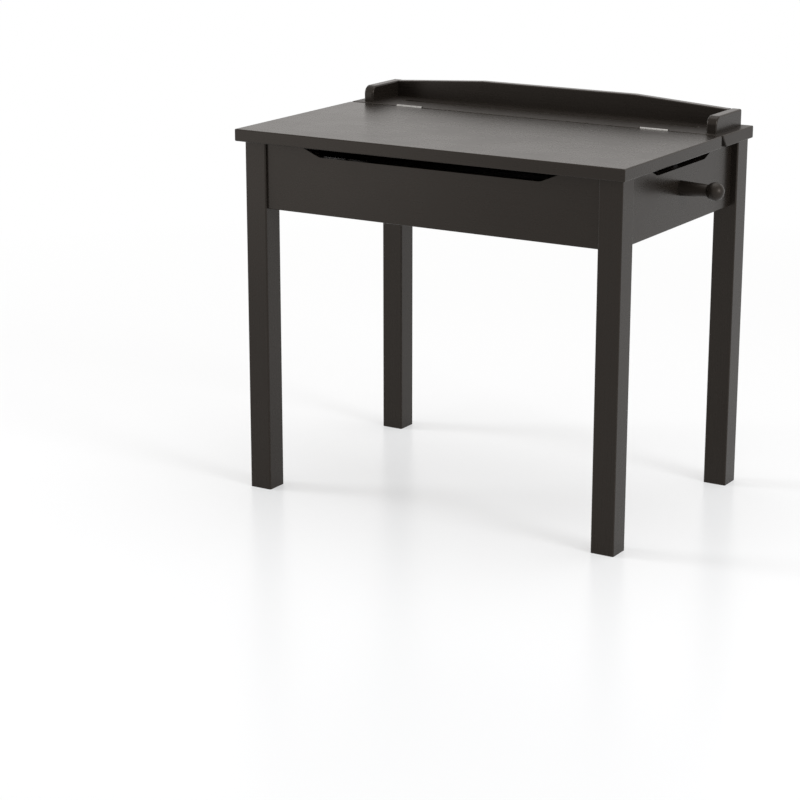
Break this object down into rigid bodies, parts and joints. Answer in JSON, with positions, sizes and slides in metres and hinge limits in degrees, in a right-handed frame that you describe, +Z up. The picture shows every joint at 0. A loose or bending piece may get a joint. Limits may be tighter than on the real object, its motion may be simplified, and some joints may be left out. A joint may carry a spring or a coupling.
{
  "type": "kids desk",
  "caption": "Child's lift-top desk: hinged lid over a storage box, fixed rear strip with pencil groove and low raised gallery, square legs, side peg for a bag.",
  "frame": {"origin": "middle of the whole desk's box, on the floor", "axes": "+Z up, front faces -Y, +X to the desk's right side, where the peg is"},
  "size_m": [0.755, 0.477, 0.649],
  "materials": {
    "painted_wood": "satin near-black paint on board and solid wood",
    "panel_board": "matt painted hardboard",
    "dowel_wood": "bare beech",
    "cam_zinc": "zinc-plated",
    "stay_steel": "black-coated steel",
    "hinge_steel": "bright nickel-plated",
    "screw_steel": "zinc-plated"
  },
  "bodies": {
    "frame": {"bottom_panel": "panel_board", "cam_bolts": "cam_zinc", "cam_locks": "cam_zinc", "dowels": "dowel_wood", "front_apron": "painted_wood", "gallery_end_left": "painted_wood", "gallery_end_right": "painted_wood", "gallery_rail": "painted_wood", "gallery_screws": "screw_steel", "hinge_pin_left": "hinge_steel", "hinge_pin_right": "hinge_steel", "left_apron": "painted_wood", "leg_front_left": "painted_wood", "leg_front_right": "painted_wood", "leg_rear_left": "painted_wood", "leg_rear_right": "painted_wood", "peg_screw": "screw_steel", "rear_apron": "painted_wood", "rear_top_strip": "painted_wood", "right_apron": "painted_wood", "side_peg": "painted_wood", "stay_wall_bracket_left": "stay_steel", "stay_wall_bracket_right": "stay_steel", "stay_wall_rivet_left": "stay_steel", "stay_wall_rivet_right": "stay_steel", "stay_wall_screws": "stay_steel", "strip_hinge_leaf_left": "hinge_steel", "strip_hinge_leaf_right": "hinge_steel", "strip_hinge_screws": "hinge_steel"},
    "lid": {"lid": "painted_wood", "lid_hinge_screws": "hinge_steel", "stay_lid_screws": "stay_steel", "lid_hinge_leaf_left": "hinge_steel", "stay_lid_bracket_left": "stay_steel", "stay_lid_rivet_left": "stay_steel", "lid_hinge_leaf_right": "hinge_steel", "stay_lid_bracket_right": "stay_steel", "stay_lid_rivet_right": "stay_steel"},
    "lower_arm_left": {"stay_lower_arm_left": "stay_steel", "stay_knee_rivet_left": "stay_steel"},
    "upper_arm_left": {"stay_upper_arm_left": "stay_steel"},
    "lower_arm_right": {"stay_lower_arm_right": "stay_steel", "stay_knee_rivet_right": "stay_steel"},
    "upper_arm_right": {"stay_upper_arm_right": "stay_steel"}
  },
  "joints": [
    {"name": "lid_hinge", "type": "hinge", "parent": "frame", "child": "lid", "pos_m": [-0.0255, 0.111, 0.611], "axis": [-1, 0, 0], "range_deg": [0, 80]},
    {"name": "lower_arm_pivot_left", "type": "hinge", "parent": "frame", "child": "lower_arm_left", "pos_m": [-0.337, 0.086, 0.552], "axis": [-1, 0, 0], "range_deg": [0, 80]},
    {"name": "upper_arm_pivot_left", "type": "hinge", "parent": "lid", "child": "upper_arm_left", "pos_m": [-0.3345, 0.031, 0.583], "axis": [-1, 0, 0], "range_deg": [-80, 0]},
    {"name": "lower_arm_pivot_right", "type": "hinge", "parent": "frame", "child": "lower_arm_right", "pos_m": [0.286, 0.086, 0.552], "axis": [-1, 0, 0], "range_deg": [0, 80]},
    {"name": "upper_arm_pivot_right", "type": "hinge", "parent": "lid", "child": "upper_arm_right", "pos_m": [0.2835, 0.031, 0.583], "axis": [-1, 0, 0], "range_deg": [-80, 0]}
  ],
  "couplings": [
    {"joint": "lower_arm_pivot_left", "follows": "lid_hinge", "ratio": 1},
    {"joint": "upper_arm_pivot_left", "follows": "lid_hinge", "ratio": -1},
    {"joint": "lower_arm_pivot_right", "follows": "lid_hinge", "ratio": 1},
    {"joint": "upper_arm_pivot_right", "follows": "lid_hinge", "ratio": -1}
  ]
}
